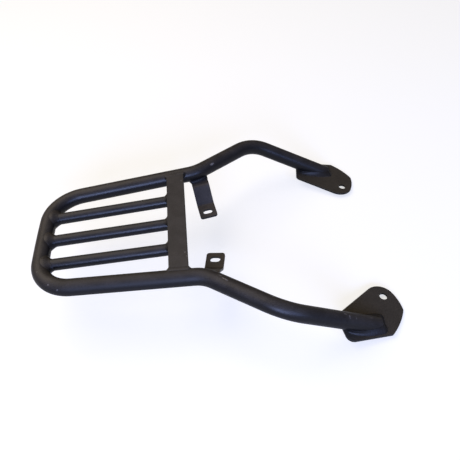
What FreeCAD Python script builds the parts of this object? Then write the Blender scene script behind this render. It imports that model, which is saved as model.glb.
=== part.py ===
import FreeCAD, Part
import math
import os

# A motorcycle luggage carrier welded from tube, strip and plate.
# Millimetres. +X is forward on the motorcycle, +Y its left side, +Z up.
# The origin is the middle of the cross plate's upper face.

# Hoop: one round tube bent round the rear, out into two arms and down into two legs.
# Its corners are the sharp corners of the tube's centreline, each with a bend radius.
HOOP_DIAMETER = 22.2
HOOP_WALL = 1.8
HOOP_RISE = 0.6
REAR_X = -182.5
REAR_HALF_WIDTH = 84.0
REAR_BOW = 1.8
REAR_BOW_SHARE = 0.86
REAR_BEND = 49.0
ARM_X = 30.5
ARM_HALF_WIDTH = 101.4
ARM_BEND = 45.0
LEG_X = 120.0
LEG_HALF_WIDTH = 164.9
LEG_DROP = 9.3
LEG_BEND = 59.0
LEG_PITCH = 31.8
LEG_TOE_IN = 5.2

# Slats: three round tubes that spread a little towards the front.
SLAT_NAMES = ("right", "middle", "left")
SLAT_DIAMETER = 16.0
SLAT_WALL = 1.5
SLAT_PITCH_REAR = 43.6
SLAT_PITCH_FRONT = 47.6
SLAT_SETBACK = 4.0

# Cross plate: a flat bar between the two sides, over the slats' front ends.
CROSS_WIDTH = 25.0
CROSS_THICKNESS = 3.0
CROSS_EDGE = 0.5

# Stays: two strips bent in a Z, welded under the arms, with a slotted foot.
# The two were set by eye, so each has its own place along the carrier and its own turn.
STRIP_WIDTH = 25.0
STRIP_THICKNESS = 3.0
STRIP_BEND = 5.0
STAY_X_LEFT = 41.7
STAY_X_RIGHT = 45.6
STAY_YAW_LEFT = 8.0
STAY_YAW_RIGHT = 10.5
FOOT_END_Y = 36.5
FOOT_LENGTH = 27.5
FOOT_DROP = 20.3
FOOT_CORNER = 4.0
STAY_REACH = 21.5
STAY_PAST_ARM = 4.0
STAY_SEAT_DEPTH = 0.2
SLOT_LENGTH = 14.0
SLOT_WIDTH = 9.0
SLOT_INSET = 11.6

# Lugs: two flat plates under the legs' ends, each with one bolt hole.
# The lug's own zero point lies ahead of the leg's upper corner and inboard of it.
LUG_AHEAD = 92.5
LUG_INSET = 14.9
LUG_Z = -84.2
LUG_PITCH = 9.3
LUG_CANT = 1.4
LUG_THICKNESS = 3.0
LUG_EDGE = 0.4
# The outline's corners, forward and inboard of that point, with their radii.
LUG_HEEL = (-26.4, 11.7)
LUG_NOSE = (41.8, 62.6)
LUG_FRONT = (63.0, 14.6)
LUG_OUTER = (38.5, -21.1)
LUG_TAIL = (-19.9, -28.6)
LUG_RADII = (8.0, 20.0, 5.0, 4.0, 10.0)
NOSE_SWEEP = 65.0
FRONT_SWEEP = 103.0
LUG_HOLE = (43.2, 37.9)
LUG_HOLE_DIAMETER = 10.5
# The leg's tube stops square to the lug, this far forward of the same point,
# and is cut from a bar that runs this much further on.
LEG_END = 28.0
LEG_SPARE = 90.0

# Weld beads
WELD_EDGE = 0.3
SLAT_REAR_FILLET = 3.5
SLAT_REAR_HEIGHT = 2.5
SLAT_REAR_TAPER = 0.45
SLAT_FRONT_FILLET = 5.0
SLAT_FRONT_SPREAD = 1.5
SLAT_FRONT_CREST = 0.2
CROSS_BEVEL = 1.5
CROSS_SHOULDER = 1.5
CROSS_CREST = 0.07
CROSS_DEPTH = 3.0
CROSS_RUN_OUT = 6.0
STAY_FILLET = 3.5
STAY_RUN_OUT = 1.5
LEG_FILLET = 3.4
LEG_FILLET_RISE = 6.0
LEG_HEEL_FILL = 10.5
LEG_TOE_FILL = 3.4
LEG_MELT = 0.97

V = FreeCAD.Vector
UP = V(0, 0, 1)
HOOP_RADIUS = HOOP_DIAMETER / 2
SLAT_RADIUS = SLAT_DIAMETER / 2
HOOP_Z = HOOP_RISE - HOOP_RADIUS
SLAT_Z = -CROSS_THICKNESS - SLAT_RADIUS
FAR = 500.0


def unit(vector):
    return vector / vector.Length


def mirrored(shape):
    return shape.mirror(V(0, 0, 0), V(0, 1, 0))


def rod(start, end, radius):
    run = end - start
    return Part.makeCylinder(radius, run.Length, start, run)


def closed_wire(points):
    return Part.makePolygon(points + points[:1])


def prism(points, run):
    return Part.Face(closed_wire(points)).extrude(run)


def box(low, high):
    return Part.makeBox(high.x - low.x, high.y - low.y, high.z - low.z, low)


def bent_path(points, radii):
    """Straight runs and tangent arcs along a line of corners."""
    path = []
    start = points[0]
    for before, corner, after, radius in zip(points, points[1:], points[2:], radii):
        arriving = unit(corner - before)
        leaving = unit(after - corner)
        turn = arriving.getAngle(leaving)
        tangent = radius * math.tan(turn / 2)
        axis = unit(arriving.cross(leaving))
        bend_start = corner - arriving * tangent
        centre = bend_start + axis.cross(arriving) * radius
        path.append(("run", bend_start - start))
        path.append(("bend", centre, axis, math.degrees(turn)))
        start = corner + leaving * tangent
    path.append(("run", points[-1] - start))
    return path


def swept(outline, path):
    """One solid: an outline carried along each run and round each bend."""
    faces = [Part.Face(outline)]
    for kind, *way in path:
        if kind == "run":
            faces += outline.extrude(*way).Faces
            outline = outline.translated(*way)
        else:
            faces += outline.revolve(*way).Faces
            outline = outline.rotated(*way)
    faces.append(Part.Face(outline))
    shell = Part.makeShell(faces)
    shell.sewShape()
    solid = Part.makeSolid(shell)
    if solid.Volume < 0:
        solid.reverse()
    return solid


def bent_rod(points, bend_radii, radius):
    ring = Part.Circle(points[0], points[1] - points[0], radius)
    return swept(Part.Wire(ring.toShape()), bent_path(points, bend_radii))


def lug_placement():
    turn = FreeCAD.Rotation(V(0, 1, 0), LUG_PITCH)
    turn = turn.multiply(FreeCAD.Rotation(V(1, 0, 0), LUG_CANT))
    return FreeCAD.Placement(V(LEG_X + LUG_AHEAD, LUG_INSET - LEG_HALF_WIDTH, LUG_Z), turn)


def leg_top():
    return V(LEG_X, -LEG_HALF_WIDTH, HOOP_Z - LEG_DROP)


def leg_direction():
    """The right leg points forward and down, and a little inboard."""
    toe_in = math.radians(LEG_TOE_IN)
    return unit(V(math.cos(toe_in), math.sin(toe_in), -math.tan(math.radians(LEG_PITCH))))


def leg_foot():
    """The point where the right leg's centreline meets the lug's upper face."""
    place = lug_placement()
    normal = place.Rotation.multVec(UP)
    reach = (place.Base - leg_top()).dot(normal) / leg_direction().dot(normal)
    return leg_top() + leg_direction() * reach


def hoop_corners():
    right = [
        V(REAR_X, -REAR_HALF_WIDTH, HOOP_Z),
        V(ARM_X, -ARM_HALF_WIDTH, HOOP_Z),
        leg_top(),
        leg_foot() + leg_direction() * LEG_SPARE,
    ]
    left = [V(p.x, -p.y, p.z) for p in reversed(right)]
    return left + [V(REAR_X - REAR_BOW, 0, HOOP_Z)] + right


def rear_bow_radius():
    """The bow takes up a share of the rear run between its two bends."""
    tilt = math.atan2(REAR_BOW, REAR_HALF_WIDTH)
    turn = math.pi / 2 - math.atan(side_slope()) - tilt
    room = math.hypot(REAR_BOW, REAR_HALF_WIDTH) - REAR_BEND * math.tan(turn / 2)
    return REAR_BOW_SHARE * room / math.tan(tilt)


def whole_hoop(radius):
    """The hoop as a solid bar of one radius that runs on past both lugs."""
    bends = [LEG_BEND, ARM_BEND, REAR_BEND]
    return bent_rod(hoop_corners(), bends + [rear_bow_radius()] + bends[::-1], radius)


def past_leg_end():
    """All that lies below the right lug's upper face or forward of the leg's end."""
    below = box(V(-FAR, -FAR, -FAR), V(FAR, FAR, 0))
    ahead = box(V(LEG_END, -FAR, -FAR), V(FAR, FAR, FAR))
    waste = below.fuse(ahead)
    waste.Placement = lug_placement()
    return waste.common(box(V(LEG_X, -FAR, -FAR), V(2 * FAR, 0, FAR)))


def trimmed(hoop):
    waste = past_leg_end()
    return hoop.cut(waste).cut(mirrored(waste))


def slat_ends(index):
    aside = index * SLAT_PITCH_REAR
    rear = V(rear_x(aside), aside, SLAT_Z)
    front = V(CROSS_WIDTH / 2 - SLAT_SETBACK, index * SLAT_PITCH_FRONT, SLAT_Z)
    return rear, front


def slat_bar(index):
    return rod(*slat_ends(index), SLAT_RADIUS)


def slat(index, bar):
    rear, front = slat_ends(index)
    return slat_bar(index).cut(rod(rear, front, SLAT_RADIUS - SLAT_WALL)).cut(bar)


def rear_x(y):
    """How far back the hoop's centreline lies, across its bow and into its rear bends."""
    turn = math.pi / 2 - math.atan(side_slope())
    bend_start = REAR_HALF_WIDTH - REAR_BEND * math.tan(turn / 2)
    into_bend = max(0, abs(y) - bend_start)
    bow = REAR_BOW * (1 - abs(y) / REAR_HALF_WIDTH)
    return REAR_X - bow + REAR_BEND - math.sqrt(REAR_BEND ** 2 - into_bend ** 2)


def slat_rear_weld(index, bar):
    """A tapered ring round a slat where it meets the hoop's rear."""
    rear, front = slat_ends(index)
    along = unit(front - rear)
    length = HOOP_RADIUS + SLAT_REAR_FILLET
    wide = SLAT_RADIUS + length * SLAT_REAR_TAPER
    cone = Part.makeCone(wide, SLAT_RADIUS + WELD_EDGE, length, rear, along)
    sleeve = rod(rear, rear + along * length, SLAT_RADIUS + SLAT_REAR_HEIGHT)
    return cone.common(sleeve).cut(bar).cut(slat_bar(index))


def slat_front_weld(index):
    """Fillets along a slat under the cross plate, joined by a bead at the plate's rear edge."""
    middle = index * SLAT_PITCH_FRONT
    edge = -CROSS_WIDTH / 2
    top = -CROSS_THICKNESS
    low = SLAT_Z + SLAT_RADIUS / 4
    wide = SLAT_RADIUS + SLAT_FRONT_SPREAD
    half = SLAT_RADIUS / 2

    def across(x, half_top, half_low, height):
        return [
            V(x, middle - half_low, low), V(x, middle + half_low, low),
            V(x, middle + half_top, height), V(x, middle - half_top, height),
        ]

    run = V(CROSS_WIDTH - 2 * SLAT_SETBACK, 0, 0)
    below = []
    for side in (-1, 1):
        corner = V(edge, middle + side * half, 0)
        outline = [(0, top), (wide - half, top), (SLAT_RADIUS - half, low), (0, low)]
        below.append(prism([corner + V(0, side * y, z) for y, z in outline], run))
    at_plate = across(edge, wide, wide, top * SLAT_FRONT_CREST)
    on_slat = across(edge - SLAT_FRONT_FILLET, half, half, SLAT_Z + half)
    behind = Part.makeLoft([closed_wire(on_slat), closed_wire(at_plate)], True, True)
    return behind.fuse(below).cut(slat_bar(index))


def side_slope():
    return (ARM_HALF_WIDTH - REAR_HALF_WIDTH) / (ARM_X - REAR_X)


def side_point(x):
    """A point on the left side's centreline, between the rear bend and the arm."""
    return V(x, REAR_HALF_WIDTH + side_slope() * (x - REAR_X), HOOP_Z)


def along_side(reach, profile):
    """A bar along the left side: its profile as distances inboard of the centreline, and heights."""
    start = side_point(-reach)
    return prism([V(start.x, start.y - inboard, z) for inboard, z in profile], side_point(reach) - start)


def cross_plate(bar):
    """The flat bar, coped to the tube at both ends, with its upper end edges bevelled for the weld."""
    half_width = CROSS_WIDTH / 2
    half_length = side_point(half_width).y
    plate = box(V(-half_width, -half_length, -CROSS_THICKNESS), V(half_width, half_length, 0))
    long_edges = [e for e in plate.Edges if e.Length > CROSS_WIDTH]
    plate = plate.makeFillet(CROSS_EDGE, long_edges)
    edge = HOOP_RADIUS - CROSS_SHOULDER
    at_tube = math.sqrt(HOOP_RADIUS ** 2 - (CROSS_BEVEL + HOOP_Z) ** 2)
    slope = [(edge, 0), (at_tube, -CROSS_BEVEL), (-HOOP_RADIUS, -CROSS_BEVEL)]
    bevel = along_side(CROSS_WIDTH, slope + [(-HOOP_RADIUS, HOOP_RISE), (edge, HOOP_RISE)])
    return plate.cut(bar).cut(bevel).cut(mirrored(bevel))


def left_cross_weld(bar, plate):
    """A bead in the plate's bevel and a fillet under the plate, run out along the tube."""
    edge = CROSS_WIDTH / 2
    end = edge + CROSS_RUN_OUT
    low = -CROSS_THICKNESS - CROSS_DEPTH
    shoulder = HOOP_RADIUS + CROSS_SHOULDER
    upper = [(shoulder, -CROSS_THICKNESS), (HOOP_RADIUS - CROSS_SHOULDER, 0), (0, HOOP_RISE - CROSS_CREST)]
    bead = along_side(end, [(0, low), (HOOP_RADIUS, low)] + upper)
    plan = [(-end, 0), (-end, HOOP_RADIUS), (-edge, shoulder), (edge, shoulder), (end, HOOP_RADIUS), (end, 0)]
    from_above = prism([side_point(x) - V(0, inboard, FAR / 2) for x, inboard in plan], UP * FAR)
    height = [(-end, low), (-edge, HOOP_RISE), (edge, HOOP_RISE), (end, low)]
    from_inside = prism([V(x, 0, z) for x, z in height], V(0, FAR, 0))
    return bead.common(from_above).common(from_inside).cut(bar).cut(plate)


def stay_axes(yaw):
    """Outboard along the left stay's strip, and forward across it."""
    turn = math.radians(yaw)
    return V(-math.sin(turn), math.cos(turn), 0), V(math.cos(turn), math.sin(turn), 0)


def seat_z():
    """The upper face of the stay's seat, a little above the arm's underside."""
    return HOOP_Z - HOOP_RADIUS + STAY_SEAT_DEPTH


def stay_corners(x, along):
    """Corners of the strip's middle line, from the foot's end to the seat's end past the arm."""
    end = V(x, FOOT_END_Y, seat_z() - STRIP_THICKNESS / 2 - FOOT_DROP)
    heel = end + along * FOOT_LENGTH
    knee = heel + along * STAY_REACH + UP * FOOT_DROP
    to_arm = (side_point(knee.x).y - knee.y) / (along.y - side_slope() * along.x)
    return [end, heel, knee, knee + along * (to_arm + STAY_PAST_ARM)]


def slot_cutter(centre, across):
    deep = UP * (2 * STRIP_THICKNESS)
    half = across * ((SLOT_LENGTH - SLOT_WIDTH) / 2)
    wide = UP.cross(across) * (SLOT_WIDTH / 2)
    low = centre - deep
    middle = prism([low - half - wide, low + half - wide, low + half + wide, low - half + wide], deep * 2)
    rounds = [rod(p - deep, p + deep, SLOT_WIDTH / 2) for p in (centre - half, centre + half)]
    return middle.fuse(rounds)


def left_stay(x, yaw, bar):
    """The strip, coped a little to the arm so that the two lie against each other."""
    along, across = stay_axes(yaw)
    corners = stay_corners(x, along)
    end = corners[0]
    half = across * (STRIP_WIDTH / 2)
    rise = UP * (STRIP_THICKNESS / 2)
    outline = closed_wire([end - half - rise, end + half - rise, end + half + rise, end - half + rise])
    strip = swept(outline, bent_path(corners, [STRIP_BEND] * 2))
    foot_corners = [e for e in strip.Edges if is_upright(e) and abs((e.CenterOfMass - end).dot(along)) < 0.01]
    strip = strip.makeFillet(FOOT_CORNER, foot_corners)
    return strip.cut(slot_cutter(end + along * SLOT_INSET, across)).cut(bar)


def left_arm(radius):
    """The hoop's left side near the stay, as a solid bar."""
    leg = leg_top()
    corners = [side_point(0), V(ARM_X, ARM_HALF_WIDTH, HOOP_Z), V(leg.x, -leg.y, leg.z)]
    return bent_rod(corners, [ARM_BEND], radius)


def left_stay_weld(x, yaw, bar, strip):
    """A bead along the arm's inner side, where the arm lies on the stay's seat."""
    along, across = stay_axes(yaw)
    knee, tip = stay_corners(x, along)[2:]
    rise = UP * (STRIP_THICKNESS / 2)
    start, end = knee + rise, tip + rise
    half = across * (STRIP_WIDTH / 2 + STAY_RUN_OUT)
    room = prism([start - half, start + half, end + half, end - half], UP * STAY_FILLET)
    beads = left_arm(HOOP_RADIUS + STAY_FILLET / 2).common(room).cut(bar).cut(strip)
    return min(beads.Solids, key=lambda bead: bead.CenterOfMass.y)


def is_upright(edge):
    low, high = edge.Vertexes[0].Point, edge.Vertexes[-1].Point
    return math.hypot(low.x - high.x, low.y - high.y) < 1e-4 < abs(low.z - high.z)


def is_level(edge):
    return edge.BoundBox.ZLength < 1e-4


def outward_arc(start, end, radius):
    """The edge from one corner of a clockwise outline to the next, bowed outward."""
    chord = end - start
    outward = unit(V(-chord.y, chord.x, 0))
    bow = radius - math.sqrt(radius ** 2 - (chord.Length / 2) ** 2)
    return Part.Arc(start, (start + end) * 0.5 + outward * bow, end).toShape()


def right_lug():
    low = UP * -LUG_THICKNESS
    outline = (LUG_HEEL, LUG_NOSE, LUG_FRONT, LUG_OUTER, LUG_TAIL)
    corners = [V(*corner, 0) + low for corner in outline]
    heel, nose, front, outer, tail = corners
    edges = [
        Part.makeLine(heel, nose),
        outward_arc(nose, front, NOSE_SWEEP),
        outward_arc(front, outer, FRONT_SWEEP),
        Part.makeLine(outer, tail),
        Part.makeLine(tail, heel),
    ]
    plate = Part.Face(Part.Wire(edges)).extrude(-low)
    for corner, radius in zip(corners, LUG_RADII):
        uprights = [e for e in plate.Edges if is_upright(e)]
        nearest = min(uprights, key=lambda e: (e.CenterOfMass - corner + low * 0.5).Length)
        plate = plate.makeFillet(radius, [nearest])
    plate = plate.makeFillet(LUG_EDGE, [e for e in plate.Edges if is_level(e)])
    hole = V(*LUG_HOLE, 0)
    plate = plate.cut(rod(hole + low * 2, hole - low, LUG_HOLE_DIAMETER / 2))
    plate.Placement = lug_placement()
    return plate


def ellipse(centre, forward, half_length, half_width):
    side = UP.cross(forward)
    curve = Part.Ellipse(centre + forward * half_length, centre + side * half_width, centre)
    return Part.Wire(curve.toShape())


def right_leg_weld(bar):
    """A skirt round the leg where it lies on the lug, closed over the tube's end."""
    place = lug_placement()
    foot = place.inverse().multVec(leg_foot())
    axis = place.inverse().Rotation.multVec(leg_direction())
    forward = unit(V(axis.x, axis.y, 0))
    dip = math.asin(-axis.z)
    half_length = HOOP_RADIUS / math.sin(dip)
    heel = half_length + LEG_HEEL_FILL
    toe = half_length + LEG_FILLET
    on_lug = ellipse(foot + forward * ((toe - heel) / 2), forward, (toe + heel) / 2, HOOP_RADIUS + LEG_FILLET)
    back = forward * (-LEG_FILLET_RISE / math.tan(dip))
    top = foot + back + UP * LEG_FILLET_RISE
    on_tube = ellipse(top, forward, half_length * LEG_MELT, HOOP_RADIUS * LEG_MELT)
    skirt = Part.makeLoft([on_lug, on_tube], True, True)
    base = V(LEG_END + LEG_TOE_FILL, -FAR, 0)
    crest = V(LEG_END + WELD_EDGE, -FAR, LEG_FILLET_RISE)
    ahead = [base, V(FAR, -FAR, 0), V(FAR, -FAR, 2 * LEG_FILLET_RISE), crest + UP * LEG_FILLET_RISE, crest]
    skirt = skirt.cut(prism(ahead, V(0, 2 * FAR, 0)))
    skirt.Placement = place
    return skirt.cut(bar)


def build():
    bar = trimmed(whole_hoop(HOOP_RADIUS))
    cross = cross_plate(bar)
    shapes = {"hoop": bar.cut(whole_hoop(HOOP_RADIUS - HOOP_WALL)), "cross_plate": cross}
    for index, name in zip((-1, 0, 1), SLAT_NAMES):
        shapes["slat_" + name] = slat(index, bar)
        shapes["slat_rear_weld_" + name] = slat_rear_weld(index, bar)
        shapes["slat_front_weld_" + name] = slat_front_weld(index)
    cross_weld = left_cross_weld(bar, cross)
    shapes["cross_weld_left"] = cross_weld
    shapes["cross_weld_right"] = mirrored(cross_weld)
    stay = left_stay(STAY_X_LEFT, STAY_YAW_LEFT, bar)
    shapes["stay_left"] = stay
    shapes["stay_weld_left"] = left_stay_weld(STAY_X_LEFT, STAY_YAW_LEFT, bar, stay)
    stay = left_stay(STAY_X_RIGHT, STAY_YAW_RIGHT, bar)
    shapes["stay_right"] = mirrored(stay)
    shapes["stay_weld_right"] = mirrored(left_stay_weld(STAY_X_RIGHT, STAY_YAW_RIGHT, bar, stay))
    lug = right_lug()
    leg_weld = right_leg_weld(bar)
    shapes["lug_right"] = lug
    shapes["lug_left"] = mirrored(lug)
    shapes["leg_weld_right"] = leg_weld
    shapes["leg_weld_left"] = mirrored(leg_weld)
    return shapes


os.makedirs("parts", exist_ok=True)
for node, shape in build().items():
    print(node, len(shape.Solids), round(shape.Volume), shape.isValid())
    shape.exportStep("parts/" + node + ".step")
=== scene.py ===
# %% [markdown]
# # A tubular luggage carrier for a motorcycle
# The real carrier is bent and welded from mild steel tube, flat bar and plate, and then
# powder coated satin black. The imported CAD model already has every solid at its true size,
# so this lesson keeps those shapes and gives them what CAD can't: the finish of the coat,
# the rippled welds under it, the scuffs of handling, and a studio to stand in.

import math

import bpy
from mathutils import Matrix, Vector


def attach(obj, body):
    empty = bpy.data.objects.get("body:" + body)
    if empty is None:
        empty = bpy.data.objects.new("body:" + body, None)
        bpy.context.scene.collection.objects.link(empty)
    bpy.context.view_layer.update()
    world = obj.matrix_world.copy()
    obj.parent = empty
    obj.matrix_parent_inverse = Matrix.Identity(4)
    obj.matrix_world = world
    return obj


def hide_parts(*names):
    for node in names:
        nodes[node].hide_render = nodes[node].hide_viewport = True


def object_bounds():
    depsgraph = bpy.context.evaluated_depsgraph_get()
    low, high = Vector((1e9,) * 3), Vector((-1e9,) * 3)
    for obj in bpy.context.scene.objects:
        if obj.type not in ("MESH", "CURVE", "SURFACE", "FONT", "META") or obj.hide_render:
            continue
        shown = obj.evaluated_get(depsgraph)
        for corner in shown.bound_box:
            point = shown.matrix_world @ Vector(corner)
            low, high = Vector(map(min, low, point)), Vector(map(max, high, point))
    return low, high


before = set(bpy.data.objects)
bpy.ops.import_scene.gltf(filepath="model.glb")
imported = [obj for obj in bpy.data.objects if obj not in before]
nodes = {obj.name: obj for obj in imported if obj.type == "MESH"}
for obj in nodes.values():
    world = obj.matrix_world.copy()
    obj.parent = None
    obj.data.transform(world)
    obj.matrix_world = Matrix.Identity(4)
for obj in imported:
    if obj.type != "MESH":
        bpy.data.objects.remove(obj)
cad_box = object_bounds()
print("pieces in the CAD model:", len(nodes))
print("CAD size in mm:", [round(side * 1000, 1) for side in cad_box[1] - cad_box[0]])


# %% [markdown]
# ## Units and colours
# Everything on the carrier was measured in millimetres, but Blender's own unit is the metre,
# so one helper turns a place in millimetres into a vector in metres. Colours are written as
# the hex values that a screen shows. The renderer adds light in linear values, so one
# function does that conversion for every material and lamp.

# %% Millimetres and colours
MM = 0.001


def mm(x, y, z):
    """A place on the carrier, from millimetres to metres."""
    return Vector((x, y, z)) * MM


def srgb(code):
    """A screen colour such as "#2a2928" as the linear RGBA that shaders use."""
    channels = [int(code[i:i + 2], 16) / 255 for i in (1, 3, 5)]
    return [c / 12.92 if c <= 0.04045 else ((c + 0.055) / 1.055) ** 2.4 for c in channels] + [1.0]


print("the screen's middle grey reflects", round(srgb("#808080")[0], 3), "of the light")


# %% [markdown]
# ## The camera
# The photograph looks down at the carrier at about 45 degrees from its right side, with the
# camera tilted a little about its own line of sight. Where it stood was worked out from
# where the tube ends, the lugs' corners and the holes lie in the picture. A camera looks
# along its own -Z with +Y up, so its turn is a matrix of its right, up and backward axes.

# %% Camera
camera_data = bpy.data.cameras.new("camera")
camera_data.sensor_width = 36.0
camera_data.lens = 42.87
camera_data.clip_end = 50.0
camera = bpy.data.objects.new("camera", camera_data)
right_axis = Vector((0.98913, -0.09660, -0.11084))
up_axis = Vector((0.14672, 0.69734, 0.70156))
back_axis = Vector((0.00953, -0.71020, 0.70394))
turn = Matrix((right_axis, up_axis, back_axis)).transposed().to_4x4()
camera.matrix_world = Matrix.Translation(mm(75.798, -542.268, 498.544)) @ turn
bpy.context.scene.collection.objects.link(camera)
bpy.context.scene.camera = camera
print("camera height above the cross plate in mm:", round(camera.location.z / MM))


# %% [markdown]
# ## The floor
# The photograph shows the carrier on plain white. A wide pale floor carries it and keeps its
# soft shadow. Paint alone would turn white only under lamps strong enough to grey the coat.
# So the floor also glows, at full strength only for rays that come straight from the camera.
# Reflections see a much weaker glow, because in the photograph the tubes' lower sides stay
# dark. Every material here is a tree of nodes, and one helper adds each of them.

# %% Floor
FLOOR_Z = cad_box[0].z
FLOOR_HALF = 6.0
GLOW_SEEN = 0.66
GLOW_REFLECTED = 0.2


def add(tree, kind, links=(), **settings):
    """Adds a node. links are pairs: one of its inputs, and the node, output or value that feeds it."""
    node = tree.nodes.new(kind)
    for name, value in settings.items():
        setattr(node, name, value)
    for socket, source in links:
        if isinstance(source, bpy.types.Node):
            source = source.outputs[0]
        if isinstance(source, bpy.types.NodeSocket):
            tree.links.new(source, node.inputs[socket])
        else:
            node.inputs[socket].default_value = source
    return node


floor_mesh = bpy.data.meshes.new("floor")
square = ((-1, -1), (1, -1), (1, 1), (-1, 1))
floor_mesh.from_pydata([(x * FLOOR_HALF, y * FLOOR_HALF, FLOOR_Z) for x, y in square], [], [(0, 1, 2, 3)])
floor = bpy.data.objects.new("floor", floor_mesh)
bpy.context.scene.collection.objects.link(floor)

floor_paint = bpy.data.materials.new("white_studio_floor")
floor_paint.use_nodes = True
tree = floor_paint.node_tree
tree.nodes.clear()
ray = add(tree, "ShaderNodeLightPath").outputs
reflected = add(tree, "ShaderNodeMath", [
    (0, ray["Is Glossy Ray"]), (1, ray["Is Transmission Ray"]),
], operation="MAXIMUM")
seen_glow = add(tree, "ShaderNodeMath", [(0, ray["Is Camera Ray"]), (1, GLOW_SEEN)], operation="MULTIPLY")
weak_glow = add(tree, "ShaderNodeMath", [(0, reflected), (1, GLOW_REFLECTED)], operation="MULTIPLY")
strength = add(tree, "ShaderNodeMath", [(0, seen_glow), (1, weak_glow)], operation="MAXIMUM")
paint = add(tree, "ShaderNodeBsdfDiffuse", [("Color", srgb("#b2b4b6"))])
glow = add(tree, "ShaderNodeEmission", [("Color", (1, 1, 1, 1)), ("Strength", strength)])
both = add(tree, "ShaderNodeAddShader", [(0, paint), (1, glow)])
add(tree, "ShaderNodeOutputMaterial", [("Surface", both)])
floor_mesh.materials.append(floor_paint)
print("floor height in mm:", round(FLOOR_Z / MM, 1))


# %% [markdown]
# ## The room
# Behind the floor the camera sees plain white. The coat sees a dim, slightly warm room
# instead, because a white room all round would wash out the black between the highlights.

# %% World
bpy.context.scene.view_settings.view_transform = "Standard"
world = bpy.data.worlds.new("studio")
world.use_nodes = True
tree = world.node_tree
tree.nodes.clear()
ray = add(tree, "ShaderNodeLightPath").outputs
room = add(tree, "ShaderNodeBackground", [("Color", srgb("#5a5654"))])
backdrop = add(tree, "ShaderNodeBackground", [("Color", (1, 1, 1, 1))])
both = add(tree, "ShaderNodeMixShader", [(0, ray["Is Camera Ray"]), (1, room), (2, backdrop)])
add(tree, "ShaderNodeOutputWorld", [("Surface", both)])
bpy.context.scene.world = world
print("the room gives the coat", round(srgb("#5a5654")[0], 2), "of the backdrop's light")


# %% [markdown]
# ## The lamps
# The highlights in the photograph tell where its light stood. The tubes' upper sides are
# warm and evenly bright, so a large soft box hangs high up, towards the carrier's rear and
# far side. Along each tube's near flank runs a cool blue line, and on the near leg's bend
# sits a blue patch: the reflections of windows, low down on the camera's side. Two smaller
# cool boxes stand in for those. The boxes are large for their distance, so the shadow has a
# soft edge, and the floor's own glow keeps it faint.

# %% Lamps
middle = (cad_box[0] + cad_box[1]) / 2


def soft_box(name, offset, width, height, radiance, colour):
    """A rectangular lamp that faces the carrier. radiance is its face's brightness, with white as 1."""
    data = bpy.data.lights.new(name, "AREA")
    data.shape = "RECTANGLE"
    data.size = width
    data.size_y = height
    data.energy = radiance * math.pi * width * height
    data.color = srgb(colour)[:3]
    lamp = bpy.data.objects.new(name, data)
    lamp.location = middle + Vector(offset)
    lamp.rotation_euler = (middle - lamp.location).to_track_quat("-Z", "Y").to_euler()
    bpy.context.scene.collection.objects.link(lamp)
    print(name, "power in W:", round(data.energy, 1))


soft_box("key_box", (-0.87, 0.61, 1.7), 1.8, 1.8, 3.05, "#ffeed6")
soft_box("window_right", (0.82, -1.6, 0.8), 0.58, 0.58, 13.0, "#9eb6ff")
soft_box("window_left", (-0.22, -1.75, 0.74), 0.84, 0.56, 25.0, "#adbffa")


# %% [markdown]
# ## Satin black powder coat
# Powder is sprayed on dry and baked to a skin about 0.08 mm thick. The skin has a fine grain
# and a slow wave of about 2.5 mm, called orange peel, which breaks the highlights into
# beads. The pigment is a warm black, never a pure one. Level faces are greyer and duller, in
# clouds and specks: partly a thin film of dust, and partly painted top light, the brightness
# of the overhead light drawn into their colour. Where something rubbed the coat it left pale, dry marks.
#
# The marks come first. Each one is a long narrow ellipse, which a Mapping node makes out of
# distances from the mark's centre. Fine noise breaks it into scratches. An image texture
# could hold them too, but it would need unwrapped tubes.

# %% Rub marks
NOISE = ("Vector", "Scale", "Detail", "Roughness")
RAMP = ("Value", "From Min", "From Max", "To Min", "To Max")
MARK_DEPTH = 3
SCRATCH_SIZE = 0.9


def patches(size):
    """The Scale at which a noise has patches about size millimetres wide."""
    return 1 / (size * MM)


def rub_marks(tree, place, marks):
    """How far the coat is rubbed. A mark is a centre, a turn, a length, a width and a strength."""
    streaks = None
    for centre, yaw, length, width, strength in marks:
        ellipse = add(tree, "ShaderNodeMapping", [
            ("Vector", place), ("Location", mm(*centre)), ("Rotation", (0, 0, math.radians(yaw))),
            ("Scale", mm(length / 2, width / 2, MARK_DEPTH)),
        ], vector_type="TEXTURE")
        away = add(tree, "ShaderNodeVectorMath", [(0, ellipse)], operation="LENGTH").outputs["Value"]
        streak = add(tree, "ShaderNodeMapRange", zip(RAMP, (away, 1.0, 0.5, 0.0, strength)),
                     interpolation_type="SMOOTHSTEP")
        if streaks:
            streak = add(tree, "ShaderNodeMath", [(0, streaks), (1, streak)], operation="MAXIMUM")
        streaks = streak
    noise = add(tree, "ShaderNodeTexNoise", zip(NOISE, (place, patches(SCRATCH_SIZE), 3.0, 0.7)))
    scratches = add(tree, "ShaderNodeMapRange", zip(RAMP, (noise, 0.4, 0.58, 0.0, 1.0)),
                    interpolation_type="SMOOTHSTEP")
    return add(tree, "ShaderNodeMath", [(0, streaks), (1, scratches)], operation="MULTIPLY")


print("scratches in a rub mark are about", SCRATCH_SIZE, "mm wide")


# %% [markdown]
# ## One coat for every piece
# Tube, flat bar, plate and welds went through the oven together, so one function builds the
# coat for all of them. Its arguments are only the amounts that really differ: how much dust and
# painted top light lies on the piece, how strong the orange peel is, how dull it is and where
# it was rubbed.

# %% The coat
CLOUD_SIZE = 22
SPECK_SIZE = 1.3
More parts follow.
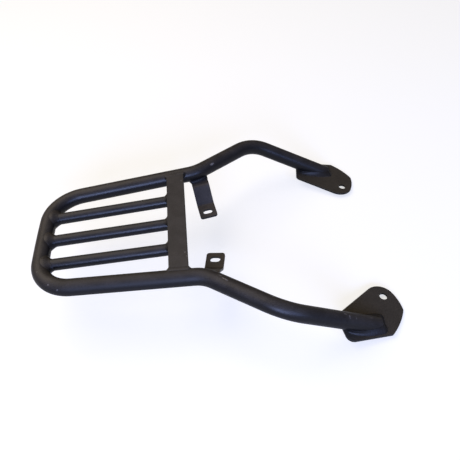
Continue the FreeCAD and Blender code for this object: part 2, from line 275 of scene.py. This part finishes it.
# The real wave is this long but only microns high, and the real grain is finer than this.
# The wave is drawn taller and the grain coarser, so that both show in the render.
WAVE_SIZE = 2.5
GRAIN_SIZE = 0.6
GRAIN_SHARE = 0.25
DUST_AND_TOP_LIGHT_ON_STEEP_FACES = 0.03
DULLED_BY_DUST = 0.2
DULLED_BY_RUBBING = 0.2
SPECULAR = 0.28  # Satin powder holds a matting agent, so it shines less than a clear skin.
RUBBED = "#9a9590"
# The worn side tube, in millimetres: from where the wear starts to where it is full.
RAIL_SIDE = (-78, -88)
RAIL_FRONT = (50, 0)


def powder_coat(name, black="#100f0f", dust_and_top_light_colour="#3f3b37", dust_and_top_light=0.8, thinnest=0.6, peel=0.07, roughness=0.35,
                marks=(), worn_rail=0.0):
    """Satin black powder coat.

    dust_and_top_light is how far level faces take dust_and_top_light_colour, which is dust and
    painted top light, thinnest the share of it left between the clouds, peel the drawn height
    of the wave in millimetres, and worn_rail how much duller the outer side of the right side
    tube is.
    """
    material = bpy.data.materials.new(name)
    material.use_nodes = True
    tree = material.node_tree
    place = add(tree, "ShaderNodeTexCoord").outputs["Object"]
    normal = add(tree, "ShaderNodeNewGeometry").outputs["Normal"]

    # Painted top light, together with the dust: the more a face points up, the more it takes the film's
    # lighter, greyer colour.
    level = add(tree, "ShaderNodeSeparateXYZ", [("Vector", normal)]).outputs["Z"]
    level_dust_and_top_light = add(tree, "ShaderNodeMapRange", zip(RAMP, (level, 0.2, 1.0, DUST_AND_TOP_LIGHT_ON_STEEP_FACES, dust_and_top_light)),
                  interpolation_type="SMOOTHSTEP")
    noise = add(tree, "ShaderNodeTexNoise", zip(NOISE, (place, patches(CLOUD_SIZE), 3.0, 0.55)))
    clouds = add(tree, "ShaderNodeMapRange", zip(RAMP, (noise, 0.3, 0.7, thinnest, 1.0)),
                 interpolation_type="SMOOTHSTEP")
    noise = add(tree, "ShaderNodeTexNoise", zip(NOISE, (place, patches(SPECK_SIZE), 2.0, 0.6)))
    specks = add(tree, "ShaderNodeMapRange", zip(RAMP, (noise, 0.3, 0.7, 0.7, 1.25)),
                 interpolation_type="SMOOTHSTEP")
    cloudy = add(tree, "ShaderNodeMath", [(0, level_dust_and_top_light), (1, clouds)], operation="MULTIPLY")
    dust_and_top_light_share = add(tree, "ShaderNodeMath", [(0, cloudy), (1, specks)], operation="MULTIPLY")
    colour = add(tree, "ShaderNodeMix", [
        ("Factor", dust_and_top_light_share), (6, srgb(black)), (7, srgb(dust_and_top_light_colour)),
    ], data_type="RGBA").outputs[2]
    dullest = roughness + DULLED_BY_DUST
    dull = add(tree, "ShaderNodeMapRange", zip(RAMP, (dust_and_top_light_share, 0.0, 1.0, roughness, dullest)),
               interpolation_type="SMOOTHSTEP")

    if worn_rail:
        where = add(tree, "ShaderNodeSeparateXYZ", [("Vector", place)]).outputs
        worn = worn_rail
        for axis, (clear, full) in (("Y", RAIL_SIDE), ("X", RAIL_FRONT)):
            limits = (where[axis], clear * MM, full * MM, 0.0, 1.0)
            reach = add(tree, "ShaderNodeMapRange", zip(RAMP, limits), interpolation_type="SMOOTHSTEP")
            worn = add(tree, "ShaderNodeMath", [(0, reach), (1, worn)], operation="MULTIPLY")
        dull = add(tree, "ShaderNodeMath", [(0, dull), (1, worn)], operation="ADD")
    if marks:
        rubbed = rub_marks(tree, place, marks)
        colour = add(tree, "ShaderNodeMix", [
            ("Factor", rubbed), (6, colour), (7, srgb(RUBBED)),
        ], data_type="RGBA").outputs[2]
        scuffed = add(tree, "ShaderNodeMath", [(0, rubbed), (1, DULLED_BY_RUBBING)], operation="MULTIPLY")
        dull = add(tree, "ShaderNodeMath", [(0, dull), (1, scuffed)], operation="ADD")

    heights = []
    for size, height in ((WAVE_SIZE, peel * MM), (GRAIN_SIZE, GRAIN_SHARE * peel * MM)):
        noise = add(tree, "ShaderNodeTexNoise", zip(NOISE, (place, patches(size), 1.0, 0.5)))
        heights.append(add(tree, "ShaderNodeMath", [(0, noise), (1, height)], operation="MULTIPLY"))
    skin = add(tree, "ShaderNodeMath", enumerate(heights), operation="ADD")
    bump = add(tree, "ShaderNodeBump", [("Strength", 1.0), ("Distance", 1.0), ("Height", skin)])

    shader = tree.nodes["Principled BSDF"]
    shader.inputs["Specular IOR Level"].default_value = SPECULAR
    tree.links.new(colour, shader.inputs["Base Color"])
    tree.links.new(dull.outputs[0], shader.inputs["Roughness"])
    tree.links.new(bump.outputs["Normal"], shader.inputs["Normal"])
    return material


print("orange peel's wave is", WAVE_SIZE, "mm long, and its grain", GRAIN_SIZE, "mm")


# %% [markdown]
# ## Which piece gets which coat
# The coat is one and the same powder, but it lies differently on each piece. The hoop was
# handled most, so it has most of the rub marks, and its right side tube is duller. On tube
# the orange peel shows more than on flat stock. The flat bar across the carrier lies level,
# so it gathers the most dust and takes the most painted top light. The stays' paler black is
# painted light: the same powder drawn lighter, for the light that they catch. The welds shed
# dust and take little painted top light, and their coat is a little duller.

# %% Where each piece was rubbed
hoop_marks = [
    ((55.9, 109.7, -4.9), 35, 9, 3, 0.8), ((29.3, 104.8, 0.1), 10, 5, 2, 0.5),
    ((55.1, -118.3, -1.9), -40, 12, 2, 0.7), ((50.0, -112.0, -0.6), -25, 9, 1.5, 0.35),
    ((192.6, -158.0, -51.4), 5, 7, 1.3, 0.7), ((197.0, -160.6, -54.9), 80, 8, 1.2, 0.65),
    ((205.4, -160.2, -60.2), 85, 5, 1.0, 0.4), ((226.5, -154.6, -72.6), 15, 6, 1.4, 0.6),
    ((-163.5, -86.3, -1.7), 0, 3, 2, 0.55),
    ((-180.3, -63.2, 0.2), 30, 2.5, 2, 0.5), ((-152.1, -94.3, -4.4), 0, 3, 1.5, 0.5),
]
plate_marks = [
    ((8.8, 75.8, 0), 90, 4, 1.5, 0.6), ((9.1, -66.4, 0), 80, 3.5, 1.5, 0.7),
    ((10.8, -73.6, 0), 90, 3, 1.5, 0.5),
]
lug_marks = [
    ((234.9, -163.9, -83.4), 60, 5, 2, 0.5), ((231.7, -166.8, -84.9), 40, 4, 2, 0.4),
    ((237.3, 148.6, -81.8), 80, 9, 1.2, 0.6),
]
print("rub marks:", len(hoop_marks) + len(plate_marks) + len(lug_marks))

# %% Coats for the hoop, slats, flat bar, stays, lugs and welds
coats = {
    # A soft black sheen that breaks into beads along the tube, with pale scuffs.
    "hoop": powder_coat("satin_black_coat_on_hoop", peel=0.13, marks=hoop_marks, worn_rail=0.16),
    # The same sheen on thinner tube, with a stronger wave, and a little cooler on its upper side: painted
    # top light, for the cooler light it catches there.
    "slat": powder_coat("satin_black_coat_on_slats", dust_and_top_light_colour="#363535", peel=0.15),
    # Dull and greyish brown, because dust and painted top light lie on nearly all of it.
    "cross": powder_coat("black_coat_on_flat_bar_with_dust_and_top_light", dust_and_top_light_colour="#3b3835", dust_and_top_light=1.0, marks=plate_marks),
    # A paler black than the tubes', which is painted light for the light the stays catch, and warm with
    # dust and painted top light on its level feet.
    "stay": powder_coat("satin_black_coat_on_stays", black="#232221", dust_and_top_light_colour="#45403c", dust_and_top_light=0.9),
    # Even, dry and warm, with hardly any clouds.
    "lug": powder_coat("satin_black_coat_on_lugs", dust_and_top_light_colour="#464138", dust_and_top_light=0.72, thinnest=0.85,
                       marks=lug_marks),
    # Deep black with a dull shine, and little dust and painted top light on its steep sides.
    "weld": powder_coat("thick_black_coat_on_welds", black="#0e0d0d", dust_and_top_light=0.3, peel=0.05, roughness=0.46),
}

for name, piece in nodes.items():
    kind = "weld" if "weld" in name else name.split("_")[0]
    piece.data.materials.clear()
    piece.data.materials.append(coats[kind])
print("coats:", {kind: coat.name for kind, coat in coats.items()})


# %% [markdown]
# ## Weld beads
# A welder lays a bead as a row of small overlapping puddles, which flow into the corner
# between two pieces and freeze there: hollow across, faintly rippled along, and thinning out
# at the ends. The CAD welds hold the same places as plain facets. A swept round profile
# looks like a cord laid in the corner, and a bump texture doesn't round the outline. So this
# Geometry Nodes tree fills the corner itself: it works out how far each point of a small
# grid is from both pieces, blends the two distances where they are alike, and skins the
# blend. Points along the welder's path are the puddles, and the bead thins away from them.
# A stop is a plane that no metal passes, for plate so thin that the blend would show on its
# other side.

# %% The tree that fills a corner with weld metal
# The first two are shares of the fillet's size.
PUDDLE_REACH = 0.24
ROOM_ROUND_PATH = 0.55
DENSITY_A_METRE = 100.0
CRUMB_POINTS = 500.0


def weld_tree():
    tree = bpy.data.node_groups.new("weld_between_two_pieces", "GeometryNodeTree")
    for name, kind in (
        ("Path", "Geometry"), ("First Piece", "Object"), ("Second Piece", "Object"), ("Fillet", "Float"),
        ("Puddle Pitch", "Float"), ("Thinning", "Float"), ("Grid", "Float"), ("Stop Point", "Vector"),
        ("Stop Normal", "Vector"), ("Coat", "Material"),
    ):
        tree.interface.new_socket(name, in_out="INPUT", socket_type="NodeSocket" + kind)
    tree.interface.new_socket("Weld", in_out="OUTPUT", socket_type="NodeSocketGeometry")
    given = add(tree, "NodeGroupInput").outputs

    # The corner: both pieces' distances, blended over the fillet's size.
    gaps = []
    for label in ("First Piece", "Second Piece"):
        piece = add(tree, "GeometryNodeObjectInfo", [("Object", given[label])]).outputs["Geometry"]
        near = add(tree, "GeometryNodeProximity", [("Geometry", piece)], target_element="FACES")
        gaps.append(near.outputs["Distance"])
    corner = add(tree, "ShaderNodeMath", enumerate((*gaps, given["Fillet"])), operation="SMOOTH_MIN")

    # The bead: the corner's metal thins out away from the puddles.
    puddles = add(tree, "GeometryNodeCurveToPoints", [
        ("Curve", given["Path"]), ("Length", given["Puddle Pitch"]),
    ], mode="LENGTH")
    near = add(tree, "GeometryNodeProximity", [("Geometry", puddles)], target_element="POINTS")
    reach = add(tree, "ShaderNodeMath", [(0, given["Fillet"]), (1, PUDDLE_REACH)], operation="MULTIPLY")
    beyond = add(tree, "ShaderNodeMath", [(0, near.outputs["Distance"]), (1, reach)], operation="SUBTRACT")
    thinned = add(tree, "ShaderNodeMath", [(0, beyond), (1, given["Thinning"])], operation="MULTIPLY")
    bead = add(tree, "ShaderNodeMath", [(0, corner), (1, thinned)], operation="ADD")

    # The stop: nothing lies behind its plane.
    here = add(tree, "GeometryNodeInputPosition")
    to_stop = add(tree, "ShaderNodeVectorMath", [(0, given["Stop Point"]), (1, here)], operation="SUBTRACT")
    behind = add(tree, "ShaderNodeVectorMath", [
        (0, to_stop), (1, given["Stop Normal"]),
    ], operation="DOT_PRODUCT").outputs["Value"]
    depth = add(tree, "ShaderNodeMath", [(0, bead), (1, behind)], operation="MAXIMUM")
    fall = add(tree, "ShaderNodeMath", [(0, depth), (1, DENSITY_A_METRE)], operation="MULTIPLY")
    density = add(tree, "ShaderNodeMath", [(0, 1.0), (1, fall)], operation="SUBTRACT")

    # The grid: a box round the path with room for the metal, in steps of the grid's size.
    sides = add(tree, "ShaderNodeCombineXYZ", [(axis, given["Fillet"]) for axis in (0, 1, 2)])
    room = add(tree, "ShaderNodeVectorMath", [(0, sides), ("Scale", ROOM_ROUND_PATH)], operation="SCALE")
    box = add(tree, "GeometryNodeBoundBox", [("Geometry", given["Path"]), ("Use Radius", False)]).outputs
    low = add(tree, "ShaderNodeVectorMath", [(0, box["Min"]), (1, room)], operation="SUBTRACT")
    high = add(tree, "ShaderNodeVectorMath", [(0, box["Max"]), (1, room)], operation="ADD")
    span = add(tree, "ShaderNodeVectorMath", [(0, high), (1, low)], operation="SUBTRACT")
    spans = add(tree, "ShaderNodeSeparateXYZ", [("Vector", span)]).outputs
    steps = [
        ("Resolution " + axis, add(tree, "ShaderNodeMath", [
            (0, spans[axis]), (1, given["Grid"]),
        ], operation="DIVIDE")) for axis in "XYZ"
    ]
    cloud = add(tree, "GeometryNodeVolumeCube", [
        ("Density", density), ("Background", 0.0), ("Min", low), ("Max", high), *steps,
    ])

    # The skin, without the crumbs that the blend leaves apart from the bead.
    skin = add(tree, "GeometryNodeVolumeToMesh", [("Volume", cloud), ("Threshold", 1.0)])
    island = add(tree, "GeometryNodeInputMeshIsland").outputs["Island Index"]
    count = add(tree, "GeometryNodeAccumulateField", [("Value", 1.0), ("Group ID", island)])
    points = count.outputs["Total"]
    crumb = add(tree, "ShaderNodeMath", [(0, points), (1, CRUMB_POINTS)], operation="LESS_THAN")
    clean = add(tree, "GeometryNodeDeleteGeometry", [("Geometry", skin), ("Selection", crumb)])
    smooth = add(tree, "GeometryNodeSetShadeSmooth", [("Geometry", clean)])
    real = add(tree, "GeometryNodeRealizeInstances", [("Geometry", smooth)])
    painted = add(tree, "GeometryNodeSetMaterial", [("Geometry", real), ("Material", given["Coat"])])
    add(tree, "NodeGroupOutput", [("Weld", painted)])
    return tree


welding = weld_tree()
sockets = {item.name: item.identifier for item in welding.interface.items_tree if item.in_out == "INPUT"}
print("inputs of the weld tree:", list(sockets))


# %% [markdown]
# ## One weld
# The welder's path is a curve of straight runs. The tree sits on it as a modifier, and its
# inputs are set by their identifiers. The evaluated result becomes a plain mesh that stands
# for one CAD weld, and the curve and its modifier go.

# %% One weld along a path
NO_STOP = ((0, 0, -1000), (0, 0, 1))


def weld(name, stands_for, pieces, path, fillet, coat="weld", closed=False, pitch=2.4, thinning=0.25,
         grid=0.4, stop=NO_STOP):
    """A weld between two CAD pieces, in place of the CAD weld. Places and sizes are in millimetres."""
    curve = bpy.data.curves.new(name, "CURVE")
    curve.dimensions = "3D"
    spline = curve.splines.new("POLY")
    spline.points.add(len(path) - 1)
    for point, place in zip(spline.points, path):
        point.co = (*mm(*place), 1.0)
    spline.use_cyclic_u = closed
    holder = bpy.data.objects.new(name + "_path", curve)
    bpy.context.scene.collection.objects.link(holder)
    modifier = holder.modifiers.new("weld", "NODES")
    modifier.node_group = welding
    values = {
        "First Piece": nodes[pieces[0]], "Second Piece": nodes[pieces[1]], "Fillet": fillet * MM,
        "Puddle Pitch": pitch * MM, "Thinning": thinning, "Grid": grid * MM,
        "Stop Point": mm(*stop[0]), "Stop Normal": Vector(stop[1]), "Coat": coats[coat],
    }
    for label, value in values.items():
        modifier[sockets[label]] = value
    evaluated = holder.evaluated_get(bpy.context.evaluated_depsgraph_get())
    mesh = bpy.data.meshes.new_from_object(evaluated)
    bpy.data.objects.remove(holder)
    metal = bpy.data.objects.new(name, mesh)
    bpy.context.scene.collection.objects.link(metal)
    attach(metal, "root")
    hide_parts(stands_for)
    print(name, "faces:", len(mesh.polygons))


def flipped(places):
    """The same places on the carrier's other side."""
    return [(x, -y, z) for x, y, z in places]


# %% [markdown]
# ## Where the slats meet the hoop
# Each slat's end is coped to the hoop's rear tube, so the weld follows a saddle: a circle
# round the slat, pushed back and forth to lie on the tube's round side. The photograph shows
# wide, smooth welds here, with the hoop's own coat flowing over them.

# %% Welds round the slats' rear ends
HOOP_R = 11.1
HOOP_Z = -10.5
SLAT_R = 8.0
SLAT_Z = -11.0
SLAT_PITCH_REAR = 43.6
REAR_X = -182.5
REAR_HALF_WIDTH = 84
REAR_BOW = 1.8
REAR_BEND = 49
REAR_BEND_START = 38.7


def rear_line(y):
    """The rear tube's centreline, with its slight bow and the start of its bends."""
    into_bend = max(0.0, abs(y) - REAR_BEND_START)
    bow = REAR_BOW * (1 - abs(y) / REAR_HALF_WIDTH)
    return REAR_X - bow + REAR_BEND - math.sqrt(REAR_BEND ** 2 - into_bend ** 2)


for place, slat_y in (("left", SLAT_PITCH_REAR), ("middle", 0.0), ("right", -SLAT_PITCH_REAR)):
    ring = []
    for degrees in range(0, 360, 15):
        y = slat_y + SLAT_R * math.cos(math.radians(degrees))
        z = SLAT_Z + SLAT_R * math.sin(math.radians(degrees))
        ring.append((rear_line(y) + math.sqrt(HOOP_R ** 2 - (z - HOOP_Z) ** 2), y, z))
    weld(f"slat_rear_bead_{place}", f"slat_rear_weld_{place}", (f"slat_{place}", "hoop"), ring, 15,
         coat="hoop", closed=True, thinning=0.14)


# %% [markdown]
# ## Where the flat bar sits on the slats
# Behind the flat bar the weld crosses each slat's back and turns under the bar along both
# of its flanks. It is as smooth as the tubes, so it has the hoop's coat.

# %% Welds between the flat bar and the slats
SLAT_PITCH_AT_BAR = 47.0

for place, slat_y in (("left", SLAT_PITCH_AT_BAR), ("middle", 0.0), ("right", -SLAT_PITCH_AT_BAR)):
    flank = [(4, 8.2, -4.8), (-11.5, 8.4, -4.9), (-13.4, 6, -4.8)]
    saddle = [(x, slat_y - y, z) for x, y, z in flank]
    saddle += [(-14.0, slat_y, -3.3)]
    saddle += [(x, slat_y + y, z) for x, y, z in reversed(flank)]
    pieces = ("cross_plate", f"slat_{place}")
    weld(f"slat_front_bead_{place}", f"slat_front_weld_{place}", pieces, saddle, 10,
         coat="hoop", thinning=0.24)


# %% [markdown]
# ## Where the flat bar's ends lie on the hoop
# The bar's ends are bevelled, so the weld fills the groove between the bevel and the tube,
# goes round the bar's edges and runs along its underside. It is as dusty as the bar.

# %% Welds at the flat bar's ends
ARM_X = 30.5
ARM_HALF_WIDTH = 101.4
SIDE_SLOPE = (ARM_HALF_WIDTH - REAR_HALF_WIDTH) / (ARM_X - REAR_X)


def rail(x, inboard, z):
    """A place beside the left side tube, measured inboard from its centreline."""
    return (x, REAR_HALF_WIDTH + SIDE_SLOPE * (x - REAR_X) - inboard, z)


around_bar = [
    rail(-12, 6.2, -1.4), rail(12, 6.2, -1.4), rail(13, 7.2, -2.2), rail(12, 8.6, -3.4),
    rail(-12, 8.6, -3.4), rail(-13, 7.2, -2.2),
]
for side, path in (("left", around_bar), ("right", flipped(around_bar))):
    weld(f"flat_bar_bead_{side}", f"cross_weld_{side}", ("cross_plate", "hoop"), path, 9,
         coat="cross", closed=True)


# %% [markdown]
# ## Where the stays hang under the hoop
# Each stay's upper flange lies against the tube from below, and one weld follows the tube
# along the flange's inner side.

# %% Welds between the stays and the hoop
along_stay = [rail(21, 6, -21), rail(30, 6, -21), (38, 96.6, -21), (45, 98.2, -21)]
for side, path in (("left", along_stay), ("right", flipped(along_stay))):
    weld(f"stay_bead_{side}", f"stay_weld_{side}", (f"stay_{side}", "hoop"), path, 9)


# %% [markdown]
# ## Where the legs stand on the lugs
# Each leg is cut flat where it meets its lug, so its edge is an ellipse, longest along the
# leg. The weld runs round it and straight across the tube's cut end. It is the part's
# heaviest weld, since the whole load goes through it. Its stop lies halfway down the lug's
# plate, so that the lug stays flat below, where it is bolted on.

# %% Welds round the legs
LUG_PITCH = 9.3
LUG_CANT = 1.4
LUG_BASE = Vector((212.5, -150.0, -84.2))
LUG_HALF_THICKNESS = 1.5
LEG_AXIS = Vector((0.8464, 0.0770, -0.5270))
LEG_FOOT = Vector((227.62, -155.11, -86.80))
TUBE_END = 28.6
TOE_ROOM = 1
PATH_HEIGHT = 0.8

lug_turn = Matrix.Rotation(math.radians(LUG_PITCH), 3, "Y")
lug_turn = lug_turn @ Matrix.Rotation(math.radians(LUG_CANT), 3, "X")
leg_axis = lug_turn.inverted() @ LEG_AXIS
foot = lug_turn.inverted() @ (LEG_FOOT - LUG_BASE)
forward = Vector((leg_axis.x, leg_axis.y, 0)).normalized()
sideways = Vector((-forward.y, forward.x, 0))
dip = math.asin(-leg_axis.z)
half_length = HOOP_R / math.sin(dip)
skirt = []
for degrees in range(0, 360, 10):
    angle = math.radians(degrees)
    reach = forward * (half_length + TOE_ROOM) * math.cos(angle) + sideways * HOOP_R * math.sin(angle)
    point = foot + reach + Vector((0, 0, PATH_HEIGHT))
    point.x = min(point.x, TUBE_END)
    skirt.append(LUG_BASE + lug_turn @ point)
stop = (LUG_BASE + lug_turn @ Vector((0, 0, -LUG_HALF_THICKNESS)), lug_turn @ Vector((0, 0, 1)))
for side, path, plane in (("left", flipped(skirt), flipped(stop)), ("right", skirt, stop)):
    weld(f"leg_bead_{side}", f"leg_weld_{side}", (f"lug_{side}", "hoop"), path, 14,
         closed=True, pitch=3.2, thinning=0.22, grid=0.5, stop=plane)
print("leg meets lug at", round(math.degrees(dip), 1), "degrees")
